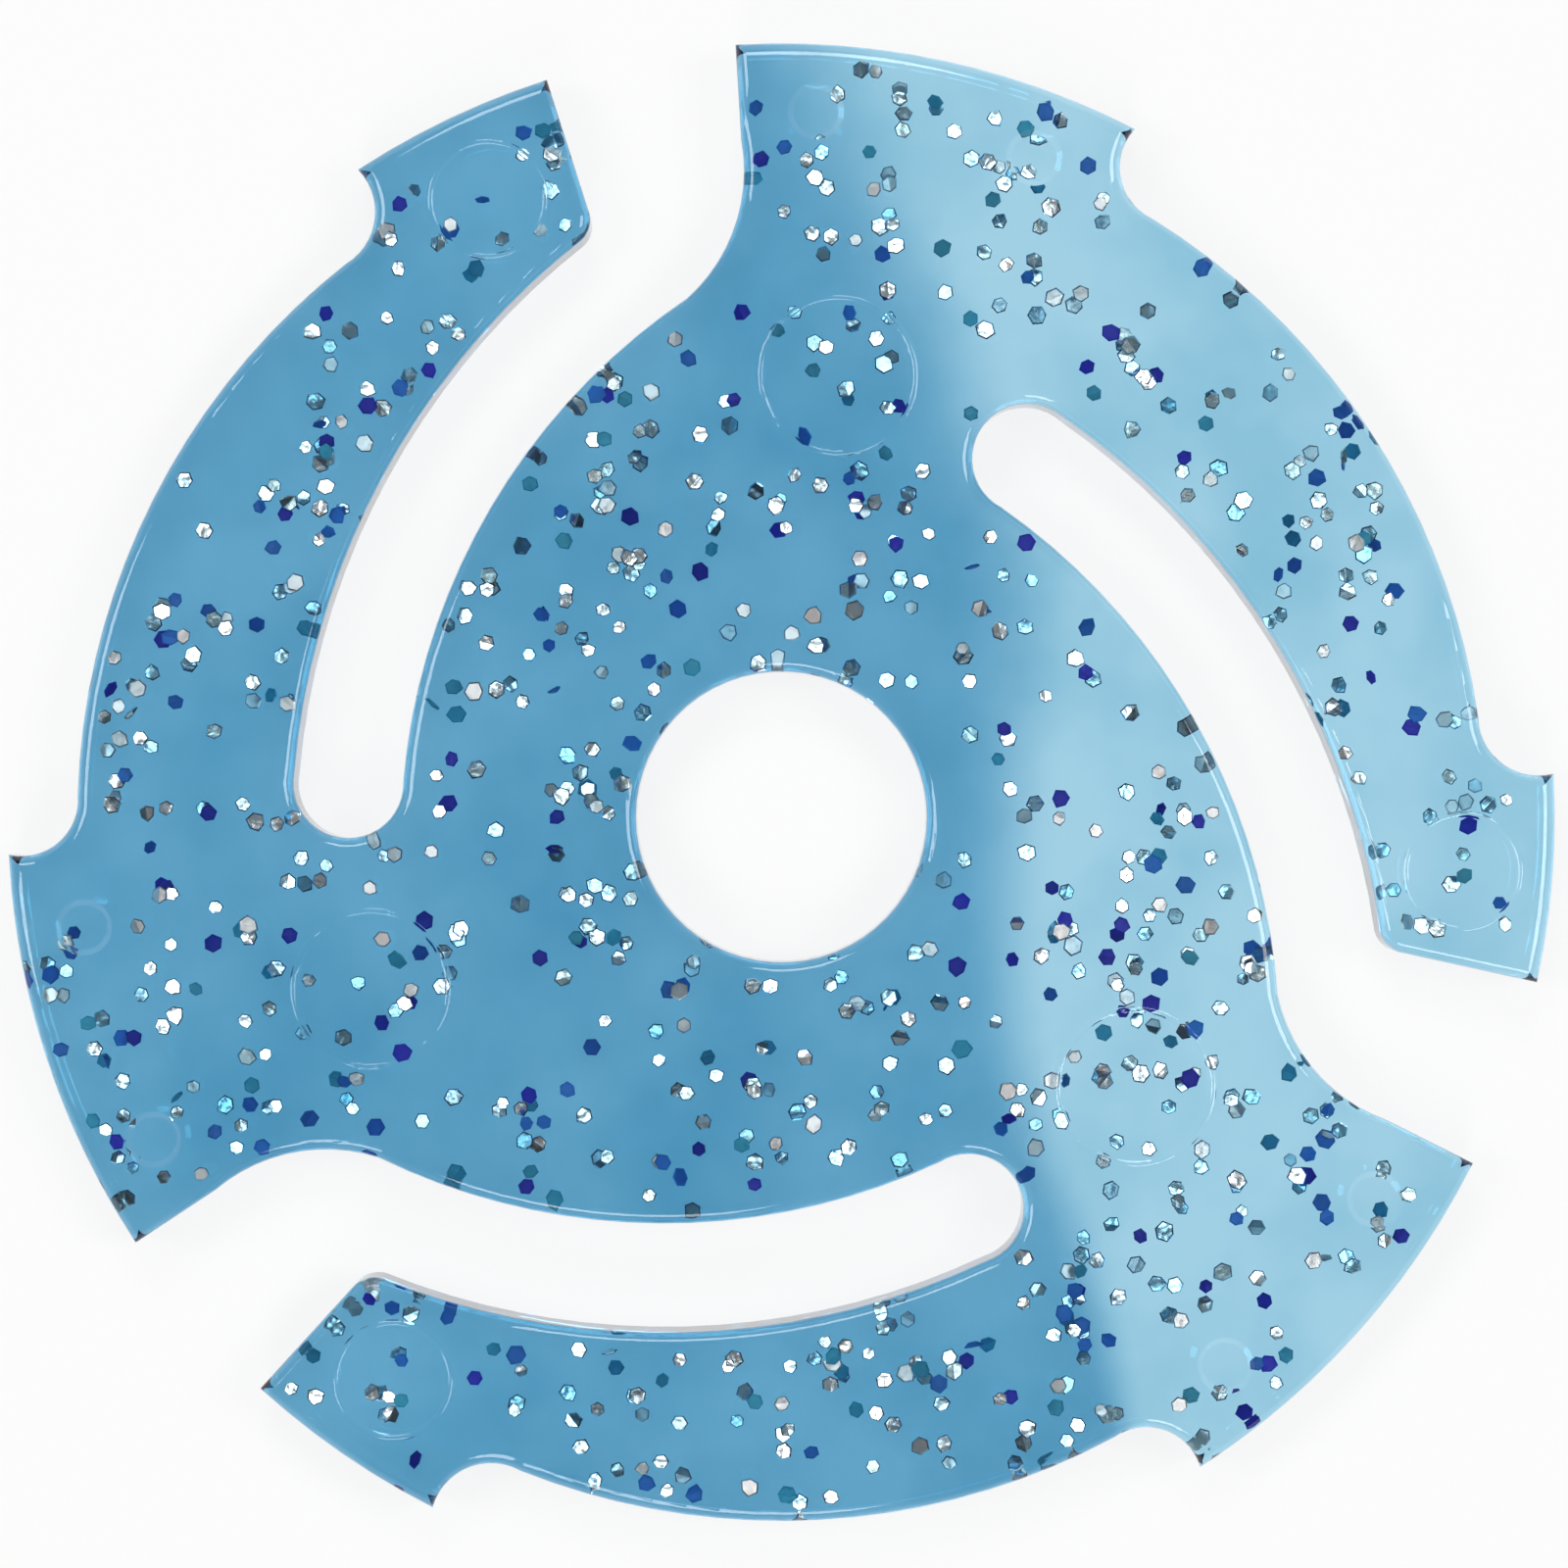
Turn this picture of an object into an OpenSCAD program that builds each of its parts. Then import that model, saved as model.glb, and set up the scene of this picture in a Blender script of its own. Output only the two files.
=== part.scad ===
// Snap-in adapter that lets a record with a large centre hole sit on a thin turntable spindle.
// One moulded plate: a hub with three lobes, and three curved springy arms that grip the record.
// The origin is on the bore's axis at the lower face. Angles turn from +X towards +Y, and the
// angles below are those of the lobe at the top and of the arm that springs from it.

/* [Plate] */
// Diameter across the outer pads, a light squeeze in the record's 38.1 mm hole
pad_d = 38.3; // [37.8:0.1:39]
// Thickness of the plate
plate_t = 2; // [1.6:0.1:3]
// Radius of the rounded upper edges of the hub, slots and arms
edge_r = 0.3; // [0.15:0.05:0.4]
// Radius of their rounded lower edges
under_edge_r = 0.15; // [0.08:0.01:0.25]
// Radius of the pads' rounded edges on both faces, which lead them into the record's hole
pad_edge_r = 0.36; // [0.2:0.01:0.45]

/* [Spindle bore] */
// Diameter of the bore, a free fit on a turntable spindle
bore_d = 7.2; // [6.9:0.05:7.6]

/* [Hub] */
// Radius of the hub's long curved edge beside each slot
hub_edge_r = 16.1; // [15.9:0.05:16.3]
// Distance from the bore's axis to the centre that this edge is struck from
strike_offset = 6.7; // [6.5:0.05:6.9]
// Direction of that centre
strike_a = 235.7; // [235:0.1:236.5]

/* [Slots] */
// Width of the slot between the hub and an arm
slot_w = 2.7; // [2.4:0.05:3]
// Direction of the slot's round end, seen from the strike centre
slot_end_a = 55.6; // [54:0.2:57]
// Radius of the flare where the slot opens beside the next lobe
flare_r = 4.2; // [4:0.05:4.4]

/* [Arms] */
// Diameter that the outer edges of the arms lie on
arm_d = 34.85; // [34.4:0.05:35.2]
// Direction of the flat end of an arm
arm_end_a = -12.35; // [-13:0.05:-12]
// Radius of the inner corner at the end of an arm
arm_corner_r = 0.7; // [0.5:0.05:0.9]

/* [Pads] */
// Direction of the flat side of a lobe, where its pad starts
lobe_side_a = 93.4; // [93:0.1:94]
// Direction of the other end of the lobe's pad
lobe_pad_a = 62.8; // [61:0.2:64]
// Radius of the notch behind the lobe's pad
lobe_notch_r = 1.4; // [1.2:0.05:1.6]
// Direction where the pad at the end of an arm starts
arm_pad_a = 3.2; // [2:0.2:4]
// Radius of the notch behind the arm's pad
arm_notch_r = 1.5; // [1.3:0.05:1.7]

/* [Mould marks] */
// Diameter of the two small pin marks on each lobe
pin_mark_d = 1.4; // [1:0.1:1.6]
// Depth of the small pin marks
pin_mark_depth = 0.12; // [0.05:0.01:0.2]
// Distance from the pad's rim to the small pin marks
pin_mark_inset = 1.7; // [1.4:0.05:2]
// Turn from each end of the lobe's pad to its pin mark
pin_mark_turn = 6.2; // [5:0.2:8]
// Diameter of the wide ring on each lobe
lobe_ring_d = 4; // [3.6:0.1:4.4]
// Distance from the bore's axis to the wide ring
lobe_ring_at = 11; // [10.6:0.1:11.4]
// Turn from the lobe's flat side to the wide ring
lobe_ring_turn = 10.7; // [9:0.2:12]
// Diameter of the ring at the end of each arm
arm_ring_d = 3; // [2.6:0.1:3.2]
// Distance from the pad's rim to the centre of the arm's ring
arm_ring_inset = 2.25; // [2.1:0.05:2.4]
// Width of the hollow groove that draws a ring
ring_w = 0.16; // [0.1:0.01:0.24]
// Depth of the groove that draws a ring
ring_depth = 0.03; // [0.02:0.005:0.05]

/* [Hidden] */
$fn = 120;

lobes = 3;
pitch = 360 / lobes;
pad_r = pad_d / 2;
arm_r = arm_d / 2;
slot_r = hub_edge_r + slot_w;
slot_mid_r = hub_edge_r + slot_w / 2;
// how far cutters run past the plate's faces and rim
over = 1;
reach = pad_r + 12 * over;
// walls that blend into each other cross at this small angle, so that they never just touch
cross_a = 7;
// slope of a pin mark's wall
pin_mark_slope = 1.2;

function polar(r, a) = [r * cos(a), r * sin(a)];
function angle_of(v) = atan2(v[1], v[0]);
function blend(r) = r * (1 - cos(cross_a));
function edge_arc_r(e) = e / cos(cross_a);

// Distance along a line through the bore's axis, in direction a, to its far crossing with a circle
// of radius r that stands off the line by h and whose centre is c
function crossing(a, c, r, h = 0) =
    let (u = polar(1, a), n = polar(1, a + 90)) u * c + sqrt(r * r - pow(h - n * c, 2));

strike_c = polar(strike_offset, strike_a);

// The flare touches the hub's edge and the next lobe's flat side
side_a = lobe_side_a - pitch;
flare_at = crossing(side_a, strike_c, hub_edge_r + flare_r, flare_r);
flare_c = polar(flare_at, side_a) + polar(flare_r, side_a + 90);
slot_start_a = angle_of(flare_c - strike_c);

// The arm's inner corner is rounded between its flat end and the slot
corner_at = crossing(arm_end_a, strike_c, slot_r + arm_corner_r, arm_corner_r);
corner_c = polar(corner_at, arm_end_a) + polar(arm_corner_r, arm_end_a + 90);
corner_end_a = arm_end_a - 90;
corner_slot_a = angle_of(strike_c - corner_c);

// A notch touches the arm's outer edge and meets the pad's rim at the pad's end
function notch_at(r) = arm_r + r - blend(r);
function notch_turn(r) =
    acos((pad_r * pad_r + pow(notch_at(r), 2) - r * r) / (2 * pad_r * notch_at(r)));
lobe_notch_a = lobe_pad_a - notch_turn(lobe_notch_r);
arm_notch_a = arm_pad_a + notch_turn(arm_notch_r);
arm_pad_mid_a = (arm_pad_a + arm_end_a) / 2;

// Straight-walled block over a flat outline, taller than the plate
module block(points) {
    translate([0, 0, -over]) linear_extrude(plate_t + 2 * over) polygon(points);
}

// Half section of a round solid whose rim is rounded with radius e above and f below
module solid_section(r, e, f) {
    intersection() {
        translate([0, -2 * over]) square([r, plate_t + 4 * over]);
        union() {
            translate([0, f]) square([r + over, plate_t - e - f]);
            translate([0, f]) square([r - e, plate_t - f + over]);
            translate([0, -over]) square([r - f, plate_t - e + over]);
            translate([r - e, plate_t - e]) circle(r = edge_arc_r(e));
            translate([r - f, f]) circle(r = edge_arc_r(f));
        }
    }
}

// Corner of a cut's half section: the space over a rounded edge of radius e beside a wall at x = r
module edge_space(r, e) {
    difference() {
        translate([r - e, -e]) square([2 * e, e + 0.75 * over]);
        translate([r + e, -e]) circle(r = edge_arc_r(e));
    }
}

// Half section of a cut that runs from x = from to a wall at x = r, with both edges rounded
module cut_section(r, from = 0) {
    translate([from, -over]) square([r - from, plate_t + 2 * over]);
    translate([0, plate_t]) edge_space(r, edge_r);
    mirror([0, 1]) edge_space(r, under_edge_r);
}

module round_solid(r, e = edge_r, f = under_edge_r) {
    rotate_extrude() solid_section(r, e, f);
}

module round_cut(r) {
    rotate_extrude() cut_section(r);
}

// Cut on one side of a flat wall that runs out from the bore's axis in direction a
module flat_cut(a, left) {
    rotate(a) mirror([0, left ? 0 : 1, 0]) rotate([90, 0, 90])
        linear_extrude(reach) mirror([1, 0]) cut_section(0, from = -reach);
}

// Everything from the strike centre out to the arm's inner edge, along the slot's length
module slot_run() {
    translate(strike_c) intersection() {
        round_cut(slot_r);
        block([[0, 0], polar(slot_mid_r, slot_start_a), polar(reach, slot_start_a - 3 * cross_a),
            polar(2 * reach, (slot_start_a + slot_end_a) / 2), polar(2 * reach, slot_end_a)]);
    }
}

// The slot's mouth, between the arm's flat end and the next lobe
module mouth() {
    intersection() {
        union() {
            translate(flare_c) round_cut(flare_r + blend(flare_r));
            intersection() {
                flat_cut(side_a, left = true);
                block([flare_c, polar(flare_at + edge_r, side_a),
                    polar(2 * reach, side_a - cross_a), polar(2 * reach, arm_end_a + cross_a)]);
            }
        }
        flat_cut(arm_end_a, left = false);
    }
}

// Takes the sharp inner corner off the end of the arm
module arm_corner() {
    difference() {
        translate(corner_c) block([[0, 0], polar(1.5 * arm_corner_r, corner_end_a),
            polar(2 * arm_corner_r, (corner_end_a + corner_slot_a) / 2),
            polar(1.5 * arm_corner_r, corner_slot_a)]);
        translate(corner_c) round_solid(arm_corner_r + blend(arm_corner_r));
    }
}

// The gap between the hub and one arm, from its round end to its mouth
module slot() {
    difference() {
        union() {
            slot_run();
            mouth();
            arm_corner();
        }
        translate(strike_c) round_solid(hub_edge_r);
    }
    translate(strike_c + polar(slot_mid_r, slot_end_a)) round_cut(slot_w / 2 + blend(slot_w / 2));
}

// The step back from the pads' rim to the arm's outer edge, with a round notch at each end
module relief() {
    translate(polar(notch_at(lobe_notch_r), lobe_notch_a)) round_cut(lobe_notch_r);
    translate(polar(notch_at(arm_notch_r), arm_notch_a)) round_cut(arm_notch_r);
    difference() {
        block([[0, 0], polar(2 * reach, arm_notch_a),
            polar(2 * reach, (arm_notch_a + lobe_notch_a) / 2), polar(2 * reach, lobe_notch_a)]);
        round_solid(arm_r);
    }
}

// Shallow dished mark of a mould pin in the upper face
module pin_mark() {
    slant = pin_mark_depth * pin_mark_slope;
    top_r = pin_mark_d / 2;
    translate([0, 0, plate_t - pin_mark_depth])
        cylinder(h = 2 * pin_mark_depth, r1 = top_r - slant, r2 = top_r + slant);
}

// Fine circular groove in the upper face, with a hollow section that catches the light
module ring_mark(d) {
    hollow_r = (pow(ring_w / 2, 2) + pow(ring_depth, 2)) / (2 * ring_depth);
    rotate_extrude() translate([(d - ring_w) / 2, plate_t - ring_depth + hollow_r])
        circle(r = hollow_r);
}

module mould_marks() {
    for (a = [lobe_side_a - pin_mark_turn, lobe_pad_a + pin_mark_turn])
        translate(polar(pad_r - pin_mark_inset, a)) pin_mark();
    translate(polar(lobe_ring_at, lobe_side_a - lobe_ring_turn)) ring_mark(lobe_ring_d);
    translate(polar(pad_r - arm_ring_inset, arm_pad_mid_a)) ring_mark(arm_ring_d);
}

// The whole moulding: a round blank, with the same cuts and marks made at each lobe
module adapter() {
    color([0.38, 0.64, 0.8, 0.8]) difference() {
        intersection() {
            round_solid(pad_r, pad_edge_r, pad_edge_r);
            cylinder(h = plate_t, r = pad_r + over);
        }
        round_cut(bore_d / 2);
        for (k = [0 : lobes - 1]) rotate(k * pitch) {
            slot();
            relief();
            mould_marks();
        }
    }
}

adapter();
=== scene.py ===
import math
import random

import bpy
from mathutils import Euler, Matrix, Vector, noise
from mathutils.bvhtree import BVHTree


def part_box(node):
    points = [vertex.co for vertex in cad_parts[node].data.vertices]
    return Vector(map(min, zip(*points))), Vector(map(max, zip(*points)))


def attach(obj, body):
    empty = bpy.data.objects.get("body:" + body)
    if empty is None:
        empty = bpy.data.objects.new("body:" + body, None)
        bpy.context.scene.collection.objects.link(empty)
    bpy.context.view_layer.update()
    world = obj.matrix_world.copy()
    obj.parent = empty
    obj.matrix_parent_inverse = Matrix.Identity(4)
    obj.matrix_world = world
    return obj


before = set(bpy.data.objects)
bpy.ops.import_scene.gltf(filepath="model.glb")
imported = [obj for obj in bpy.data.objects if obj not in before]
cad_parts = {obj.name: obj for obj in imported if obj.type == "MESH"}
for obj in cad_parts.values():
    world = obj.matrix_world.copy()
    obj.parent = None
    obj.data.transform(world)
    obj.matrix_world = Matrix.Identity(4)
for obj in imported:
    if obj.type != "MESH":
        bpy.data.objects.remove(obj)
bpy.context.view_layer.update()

MM = 0.001
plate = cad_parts["adapter"]
low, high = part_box("adapter")
PLATE_T = high.z - low.z

# Camera, straight above the plate, as in the photo: the photo's width and the bore's centre in it
PHOTO_W = 1600
MM_PER_PIXEL = 0.02421
BORE_PIXEL = (797.3, 833.6)
CAMERA_HEIGHT = 148 * MM
CAMERA_CLIP = (1 * MM, 10)
SENSOR_W = 36

# Light: a dim sky, with the zenith's level from ZENITH_FROM up. Heights here are the z of a
# ray's direction, from 0 at the horizon to 1
HORIZON_LEVEL = 0.12
ZENITH_LEVEL = 0.16
ZENITH_FROM = 0.9
# pale backdrop all round, low down: the plate's edges and steep flakes mirror it. It fades out
# between these two heights
BACKDROP_TOP = (0.2, 0.45)
# white of the backdrop, and of the floor's own light
WHITE_LEVEL = 0.985
# name, direction it comes from, height above the table as an angle, width, depth, level
LAMPS = [
    ("lamp_left", 176, 52, 0.22, 0.26, 6),
    ("lamp_back", 98, 50, 0.27, 0.20, 6),
    ("lamp_front", 262, 46, 0.22, 0.22, 6),
    ("lamp_right", 4, 52, 0.24, 0.28, 6),
]
LAMP_DISTANCE = 0.62

# Floor: white paper just under the plate
FLOOR_HALF = 0.6
FLOOR_GAP = 0.02 * MM
PAPER_COLOUR = (0.97, 0.97, 0.97)
# share of the floor's white that needs no light, seen bare, and seen through the plate left of the
# line below:
# there it is painted light, a glow in the plastic's tint for light come down through the plate, and
# the rest is paper lit through it
FLOOR_WHITE = 0.85
PAINTED_GLOW_THROUGH = 0.65
# The paper under the plate is lit through it, and right of this line it also has a painted
# backlight: seen through the plate, it glows untinted white there. The line's points as y and x in
# mm, and how soft it is in mm, at the front and at the back
PAINTED_BACKLIGHT_LINE = [
    (-17, 8.9), (-11, 7.5), (-7, 6), (1, 5.6), (6, 5.8), (9.5, 4.8), (13, 3.2), (18, 0.8),
]
PAINTED_BACKLIGHT_SOFT = (0.4, 2.4)
# how far the line is worked out to the right of the bore's axis, and to the front and back of it
PAINTED_BACKLIGHT_SPAN = 20

# Plastic: what is left of red, green and blue after one pass through the plate
PLASTIC_PASS = (0.39, 0.695, 0.86)
PLASTIC_DENSITY = 1300
PLASTIC_IOR = 1.57
# the plastic's base colour is dimmer in soft patches of noise: their colour, size and detail, and
# the levels of the noise where they are full and gone
CLOUD_COLOUR = (0.65, 0.82, 0.88)
CLOUD_SCALE, CLOUD_DETAIL = 230, 3
CLOUD_FROM, CLOUD_TO = 0.34, 0.6
# faint waviness of the moulded face
WAVE_SCALE, WAVE_DETAIL = 350, 2
WAVE_STRENGTH, WAVE_HEIGHT = 0.05, 0.2 * MM

# Glitter
SEED = 45
FLAKE_SIDES = 6
FLAKE_R = 0.235 * MM
FLAKE_T = 0.05 * MM
# how much flakes differ in size, and the corners of one flake in reach
FLAKE_SIZES = (0.8, 1.12)
FLAKE_SKEW = (0.82, 1.08)
# the flat face of a flake is this share of its width, and its edge bends away around it
FLAKE_FACE = 0.84
# least distance to the plate's surface
FLAKE_GAP = 0.05 * MM
# most flakes lie close under the upper face
FLAKE_TOP = 0.09 * MM
FLAKE_DEPTH = 1.75 * MM
FLAKE_SINK = 3.2
TRIES_PER_MM2 = 2.8
# flakes crowd in some places: the chance to keep one, and how much that varies
CROWD = (0.62, 1.0)
CROWD_SCALE = 330
# share of the flakes that are creased, and the spread of their bend in degrees
CREASED = 0.55
CREASE = 8
# spread, in degrees, of the direction and rise of the light that a lamp-facing flake throws up
FACING_TURN, FACING_RISE = 9, 5
# the others: share that lies nearly level and its spread in degrees, and the tilts of the rest
LEVEL_SHARE, LEVEL_SPREAD, LEVEL_MOST = 0.85, 15, 85
STEEP_TILTS = (35, 88)
# the dullest flake's tone, and the dents in each face
DULL_TONE = 0.7
DENT_SCALE, DENT_DETAIL = 4000, 1
DENT_STRENGTH, DENT_HEIGHT = 0.5, 0.04 * MM
# name, share of the flakes, share that faces a lamp, colour, metallic, roughness
KINDS = [
    ("silver", 0.46, 0.94, (0.97, 0.97, 0.97), 1.0, 0.2),
    ("cyan", 0.1, 0.85, (0.85, 0.97, 0.97), 1.0, 0.26),
    ("rose", 0.16, 0.72, (0.97, 0.9, 0.87), 1.0, 0.36),
    # the three dark blue kinds are painted shade: glitter that catches no lamp, drawn in a dark
    # blue of its own, with no share turned to a lamp
    ("azure", 0.1, 0.0, (0.0, 0.2, 0.75), 0.1, 0.4),
    ("teal", 0.09, 0.0, (0.03, 0.45, 0.66), 0.1, 0.4),
    ("navy", 0.09, 0.0, (0.0, 0.008, 0.6), 0.05, 0.4),
]


def new_material(name):
    """An empty node material, its nodes and its links."""
    m = bpy.data.materials.new(name)
    m.use_nodes = True
    m.node_tree.nodes.clear()
    return m, m.node_tree.nodes, m.node_tree.links


def link_object(name, mesh):
    o = bpy.data.objects.new(name, mesh)
    bpy.context.scene.collection.objects.link(o)
    return o


def make_camera():
    scale = MM_PER_PIXEL * MM
    width = PHOTO_W * scale
    data = bpy.data.cameras.new("camera")
    data.sensor_fit = "HORIZONTAL"
    data.sensor_width = SENSOR_W
    data.lens = SENSOR_W * CAMERA_HEIGHT / width
    data.clip_start, data.clip_end = CAMERA_CLIP
    cam = bpy.data.objects.new("camera", data)
    bpy.context.scene.collection.objects.link(cam)
    x = (PHOTO_W / 2 - BORE_PIXEL[0]) * scale
    y = (BORE_PIXEL[1] - PHOTO_W / 2) * scale
    cam.location = (x, y, high.z + CAMERA_HEIGHT)
    cam.rotation_euler = (0, 0, 0)
    bpy.context.scene.camera = cam
    bpy.context.scene.view_settings.view_transform = "Standard"


def math_node(nodes, links, operation, *values):
    """A Math node fed by the values, each a number or an output, and its own output."""
    node = nodes.new("ShaderNodeMath")
    node.operation = operation
    for socket, value in zip(node.inputs, values):
        if isinstance(value, (int, float)):
            socket.default_value = value
        else:
            links.new(value, socket)
    return node.outputs[0]


def noise_node(nodes, links, scale, detail):
    """A noise fixed to the object, and its level as an output."""
    coords = nodes.new("ShaderNodeTexCoord")
    texture = nodes.new("ShaderNodeTexNoise")
    texture.inputs["Scale"].default_value = scale
    texture.inputs["Detail"].default_value = detail
    links.new(coords.outputs["Object"], texture.inputs["Vector"])
    return texture.outputs["Fac"]


def bump_node(nodes, links, height, strength, distance, shader):
    """Bends the shader's normal by a height."""
    bump = nodes.new("ShaderNodeBump")
    bump.inputs["Strength"].default_value = strength
    bump.inputs["Distance"].default_value = distance
    links.new(height, bump.inputs["Height"])
    links.new(bump.outputs["Normal"], shader.inputs["Normal"])


def ramp_node(nodes, links, value, stops):
    """A colour ramp over two stops, each a place and a colour."""
    ramp = nodes.new("ShaderNodeValToRGB")
    for element, (place, colour) in zip(ramp.color_ramp.elements, stops):
        element.position = place
        element.color = (*colour, 1)
    links.new(value, ramp.inputs["Fac"])
    return ramp.outputs["Color"]


def make_world():
    world = bpy.data.worlds.new("world")
    bpy.context.scene.world = world
    world.use_nodes = True
    nodes, links = world.node_tree.nodes, world.node_tree.links
    background = nodes["Background"]
    background.inputs["Color"].default_value = (1, 1, 1, 1)
    coords = nodes.new("ShaderNodeTexCoord")
    split = nodes.new("ShaderNodeSeparateXYZ")
    links.new(coords.outputs["Generated"], split.inputs[0])

    def by_height(z_from, z_to, level_from, level_to):
        rise = nodes.new("ShaderNodeMapRange")
        rise.interpolation_type = "SMOOTHSTEP"
        rise.inputs["From Min"].default_value = z_from
        rise.inputs["From Max"].default_value = z_to
        rise.inputs["To Min"].default_value = level_from
        rise.inputs["To Max"].default_value = level_to
        links.new(split.outputs["Z"], rise.inputs["Value"])
        return rise.outputs["Result"]

    sky = by_height(0, ZENITH_FROM, HORIZON_LEVEL, ZENITH_LEVEL)
    backdrop = by_height(*BACKDROP_TOP, WHITE_LEVEL, 0)
    path = nodes.new("ShaderNodeLightPath").outputs
    seen = math_node(nodes, links, "MAXIMUM", path["Is Camera Ray"], path["Is Glossy Ray"])
    seen = math_node(nodes, links, "MAXIMUM", seen, path["Is Transmission Ray"])
    backdrop = math_node(nodes, links, "MULTIPLY", seen, backdrop)
    links.new(math_node(nodes, links, "MAXIMUM", sky, backdrop), background.inputs["Strength"])


def make_lamps():
    for name, turn, rise, width, depth, level in LAMPS:
        data = bpy.data.lights.new(name, "AREA")
        data.shape = "RECTANGLE"
        data.size = width
        data.size_y = depth
        # a lamp's power for a given radiance of its face
        data.energy = level * math.pi * width * depth
        lamp = bpy.data.objects.new(name, data)
        bpy.context.scene.collection.objects.link(lamp)
        a, e = math.radians(turn), math.radians(rise)
        flat = math.cos(e)
        place = LAMP_DISTANCE * Vector((flat * math.cos(a), flat * math.sin(a), math.sin(e)))
        lamp.location = place
        lamp.rotation_euler = place.to_track_quat("Z", "Y").to_euler()


def painted_backlight(nodes, links):
    """How much painted backlight the paper under the plate has, from 0 to 1."""
    coords = nodes.new("ShaderNodeTexCoord")
    split = nodes.new("ShaderNodeSeparateXYZ")
    links.new(coords.outputs["Object"], split.inputs[0])
    # both are shares of the span, with y measured from its front end
    x = math_node(nodes, links, "MULTIPLY", split.outputs["X"], 1 / (PAINTED_BACKLIGHT_SPAN * MM))
    y = math_node(nodes, links, "MULTIPLY_ADD", split.outputs["Y"], 0.5 / (PAINTED_BACKLIGHT_SPAN * MM), 0.5)
    line = nodes.new("ShaderNodeFloatCurve")
    curve = line.mapping.curves[0]
    places = [(0.5 + 0.5 * at_y / PAINTED_BACKLIGHT_SPAN, at_x / PAINTED_BACKLIGHT_SPAN) for at_y, at_x in PAINTED_BACKLIGHT_LINE]
    curve.points[0].location = places[0]
    curve.points[1].location = places[-1]
    for place in places[1:-1]:
        curve.points.new(*place)
    line.mapping.update()
    links.new(y, line.inputs["Value"])
    front, back = [soft / PAINTED_BACKLIGHT_SPAN for soft in PAINTED_BACKLIGHT_SOFT]
    soft = math_node(nodes, links, "MULTIPLY_ADD", y, back - front, front)
    edge = nodes.new("ShaderNodeMapRange")
    edge.interpolation_type = "SMOOTHSTEP"
    links.new(x, edge.inputs["Value"])
    edge_from = math_node(nodes, links, "SUBTRACT", line.outputs["Value"], soft)
    edge_to = math_node(nodes, links, "ADD", line.outputs["Value"], soft)
    links.new(edge_from, edge.inputs["From Min"])
    links.new(edge_to, edge.inputs["From Max"])
    return edge.outputs["Result"]


def make_floor():
    mesh = bpy.data.meshes.new("floor")
    corners = [(x * FLOOR_HALF, y * FLOOR_HALF, 0) for x, y in ((-1, -1), (1, -1), (1, 1), (-1, 1))]
    mesh.from_pydata(corners, [], [(0, 1, 2, 3)])
    floor = link_object("floor", mesh)
    floor.location.z = low.z - FLOOR_GAP
    m, nodes, links = new_material("floor")
    paper = nodes.new("ShaderNodeBsdfDiffuse")
    paper.inputs["Color"].default_value = (*PAPER_COLOUR, 1)
    # the photo's background is washed out to white, with only a trace of shadow
    white = nodes.new("ShaderNodeEmission")
    path = nodes.new("ShaderNodeLightPath").outputs
    bare = math_node(nodes, links, "MAXIMUM", path["Is Camera Ray"], path["Is Glossy Ray"])
    bare = math_node(nodes, links, "MULTIPLY", bare, FLOOR_WHITE)
    through = path["Is Transmission Ray"]
    not_through = math_node(nodes, links, "SUBTRACT", 1, through)
    bare = math_node(nodes, links, "MULTIPLY", bare, not_through)
    # painted backlight: right of the line, the paper seen through the plate glows untinted white
    own = painted_backlight(nodes, links)
    # painted light: the share of glow that the paper shows through the plate, less left of the line
    # than right of it
    lit = math_node(nodes, links, "MULTIPLY_ADD", own, 1 - PAINTED_GLOW_THROUGH, PAINTED_GLOW_THROUGH)
    lit = math_node(nodes, links, "MULTIPLY", through, lit)
    share = math_node(nodes, links, "ADD", bare, lit)
    # painted light: seen through the plate, the paper glows in the plastic's tint left of the line,
    # standing in for light come down through the plate, and in untinted white right of it
    untinted = math_node(nodes, links, "MAXIMUM", own, not_through)
    tint = ramp_node(nodes, links, untinted, [(0, PLASTIC_PASS), (1, [WHITE_LEVEL] * 3)])
    links.new(tint, white.inputs["Color"])
    mix = nodes.new("ShaderNodeMixShader")
    out = nodes.new("ShaderNodeOutputMaterial")
    links.new(share, mix.inputs["Fac"])
    links.new(paper.outputs[0], mix.inputs[1])
    links.new(white.outputs[0], mix.inputs[2])
    links.new(mix.outputs[0], out.inputs["Surface"])
    mesh.materials.append(m)


def plastic_material():
    """Clear tinted plastic: soft dim patches, a faint waviness of the face, and tint by depth."""
    m, nodes, links = new_material("blue_plastic")
    shader = nodes.new("ShaderNodeBsdfPrincipled")
    shader.inputs["Roughness"].default_value = 0
    shader.inputs["IOR"].default_value = PLASTIC_IOR
    shader.inputs["Transmission Weight"].default_value = 1
    patches = noise_node(nodes, links, CLOUD_SCALE, CLOUD_DETAIL)
    cloud = ramp_node(nodes, links, patches, [(CLOUD_FROM, CLOUD_COLOUR), (CLOUD_TO, (1, 1, 1))])
    links.new(cloud, shader.inputs["Base Color"])
    waves = noise_node(nodes, links, WAVE_SCALE, WAVE_DETAIL)
    bump_node(nodes, links, waves, WAVE_STRENGTH, WAVE_HEIGHT, shader)
    # the colour that leaves the pass above after the plate's thickness at this density
    volume = nodes.new("ShaderNodeVolumeAbsorption")
    left = [1 + math.log(p) / (PLATE_T * PLASTIC_DENSITY) for p in PLASTIC_PASS]
    volume.inputs["Color"].default_value = (*left, 1)
    volume.inputs["Density"].default_value = PLASTIC_DENSITY
    out = nodes.new("ShaderNodeOutputMaterial")
    links.new(shader.outputs[0], out.inputs["Surface"])
    links.new(volume.outputs[0], out.inputs["Volume"])
    return m


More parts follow.
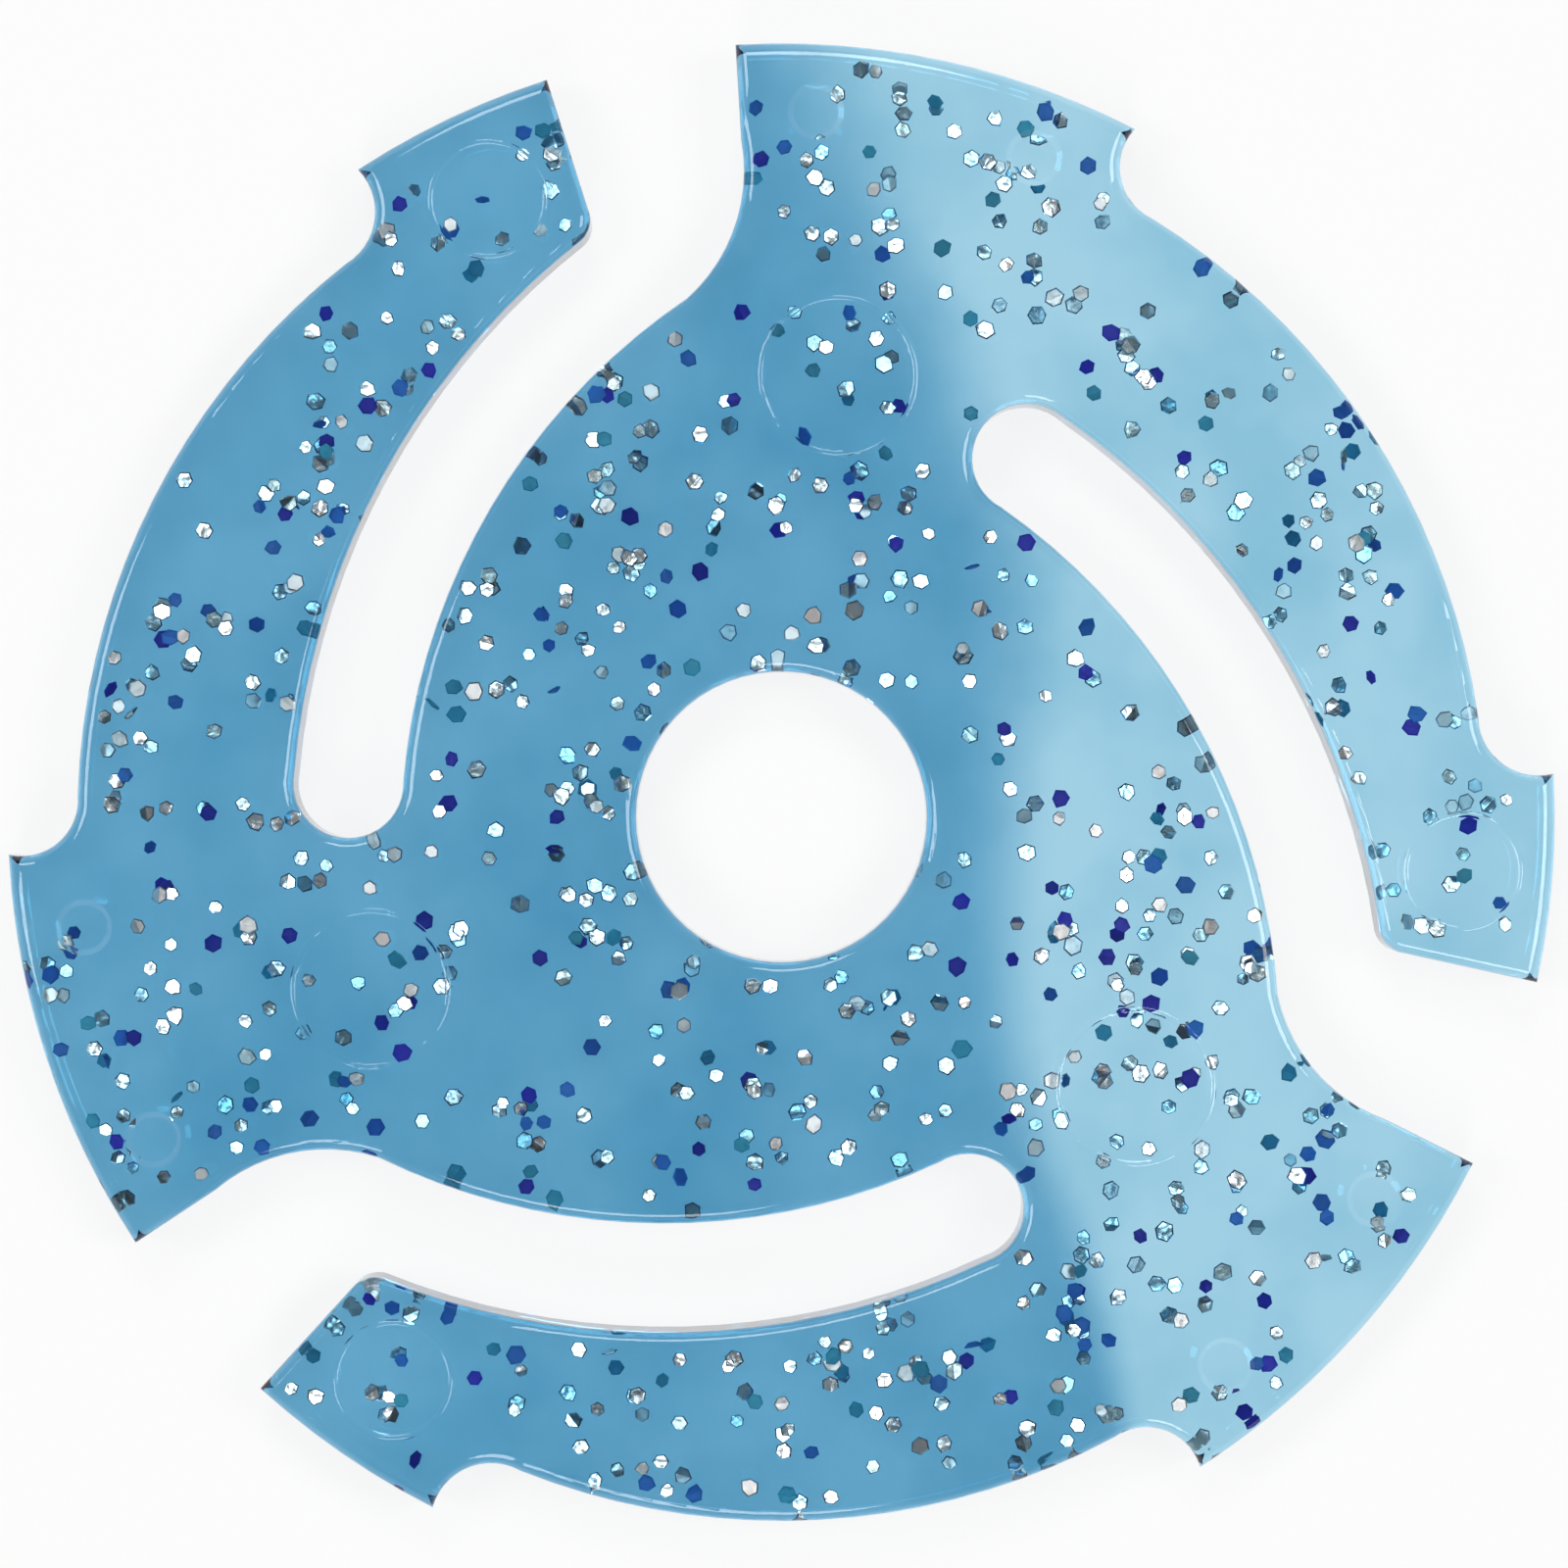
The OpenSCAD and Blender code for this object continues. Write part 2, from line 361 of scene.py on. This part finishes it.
def flake_material(name, colour, metallic, roughness):
    """Metallised film: each flake has its own tone, with a slightly uneven face."""
    m, nodes, links = new_material("glitter_" + name)
    shader = nodes.new("ShaderNodeBsdfPrincipled")
    shader.inputs["Metallic"].default_value = metallic
    shader.inputs["Roughness"].default_value = roughness
    tone = nodes.new("ShaderNodeAttribute")
    tone.attribute_name = "tone"
    dull = [DULL_TONE * c for c in colour]
    tint = ramp_node(nodes, links, tone.outputs["Fac"], [(0, dull), (1, colour)])
    links.new(tint, shader.inputs["Base Color"])
    dents = noise_node(nodes, links, DENT_SCALE, DENT_DETAIL)
    bump_node(nodes, links, dents, DENT_STRENGTH, DENT_HEIGHT, shader)
    out = nodes.new("ShaderNodeOutputMaterial")
    links.new(shader.outputs[0], out.inputs["Surface"])
    return m


def lamp_facing(rng):
    """A flake's normal that throws a lamp's light straight up, for light bent by the upper face."""
    _, turn, rise, *_ = rng.choice(LAMPS)
    a = math.radians(turn + rng.gauss(0, FACING_TURN))
    flat = math.cos(math.radians(rise + rng.gauss(0, FACING_RISE))) / PLASTIC_IOR
    light = Vector((flat * math.cos(a), flat * math.sin(a), math.sqrt(1 - flat * flat)))
    return (light + Vector((0, 0, 1))).normalized()


def any_facing(rng):
    """A flake's normal: nearly level for most, steep for a few."""
    if rng.random() < LEVEL_SHARE:
        tilt = min(abs(rng.gauss(0, LEVEL_SPREAD)), LEVEL_MOST)
    else:
        tilt = rng.uniform(*STEEP_TILTS)
    normal = Vector((0, 0, 1))
    normal.rotate(Euler((math.radians(tilt), 0, math.radians(rng.uniform(0, 360))), "XYZ"))
    return normal


def flake_corners(rng, centre, normal):
    """The three hexagons of one flake: its lower face, rim and upper face, creased or flat."""
    r = FLAKE_R * rng.uniform(*FLAKE_SIZES)
    skew = [rng.uniform(*FLAKE_SKEW) for _ in range(FLAKE_SIDES)]
    bend = rng.gauss(0, CREASE) if rng.random() < CREASED else 0
    turn = normal.to_track_quat("Z", "Y")
    spin = rng.uniform(0, 360)
    ring = []
    for reach, level in ((FLAKE_FACE, -0.5), (1, 0), (FLAKE_FACE, 0.5)):
        for i in range(FLAKE_SIDES):
            a = math.radians(360 / FLAKE_SIDES * i)
            x = r * skew[i] * reach * math.cos(a)
            y = r * skew[i] * reach * math.sin(a)
            p = Vector((x, y, level * FLAKE_T + abs(y) * math.tan(math.radians(bend))))
            p.rotate(Euler((0, 0, math.radians(spin))))
            p.rotate(turn)
            ring.append(centre + p)
    return ring


def flake_faces(n):
    """Faces of the flake at vertex n: both sides in two halves along the crease, and its rim."""
    ring, middle = FLAKE_SIDES, FLAKE_SIDES // 2
    halves = ([*range(middle + 1)], [*range(middle, ring), 0])
    faces = [[n + i for i in reversed(half)] for half in halves]
    faces += [[n + 2 * ring + i for i in half] for half in halves]
    for i in range(ring):
        j = (i + 1) % ring
        faces += [[n + k + i, n + k + j, n + k + ring + j, n + k + ring + i] for k in (0, ring)]
    return faces


def make_glitter():
    rng = random.Random(SEED)
    mesh = plate.data
    tree = BVHTree.FromPolygons([v.co for v in mesh.vertices],
                                [tuple(p.vertices) for p in mesh.polygons])

    def inside(p):
        near, normal, _, gap = tree.find_nearest(p)
        return near is not None and (p - near).dot(normal) < 0 and gap > FLAKE_GAP

    area = (high.x - low.x) * (high.y - low.y) / MM ** 2
    pools = {k[0]: ([], [], []) for k in KINDS}
    for _ in range(round(area * TRIES_PER_MM2)):
        x = rng.uniform(low.x, high.x)
        y = rng.uniform(low.y, high.y)
        centre = Vector((x, y, high.z - FLAKE_TOP - FLAKE_DEPTH * rng.random() ** FLAKE_SINK))
        name, _, facing, *_ = rng.choices(KINDS, [k[1] for k in KINDS])[0]
        normal = lamp_facing(rng) if rng.random() < facing else any_facing(rng)
        corners = flake_corners(rng, centre, normal)
        tone = rng.random()
        kept = CROWD[0] + CROWD[1] * noise.noise(Vector((x, y, 0)) * CROWD_SCALE)
        if rng.random() > kept or not all(inside(c) for c in corners):
            continue
        verts, faces, tones = pools[name]
        faces += flake_faces(len(verts))
        verts += corners
        tones += [tone] * len(corners)
    for name, _, _, colour, metallic, roughness in KINDS:
        verts, faces, tones = pools[name]
        data = bpy.data.meshes.new("glitter_" + name)
        data.from_pydata([tuple(v) for v in verts], [], faces)
        data.attributes.new("tone", "FLOAT", "POINT").data.foreach_set("value", tones)
        data.materials.append(flake_material(name, colour, metallic, roughness))
        piece = link_object("glitter_" + name, data)
        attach(piece, "root")


make_camera()
make_world()
make_lamps()
make_floor()
plate.data.materials.clear()
plate.data.materials.append(plastic_material())
make_glitter()
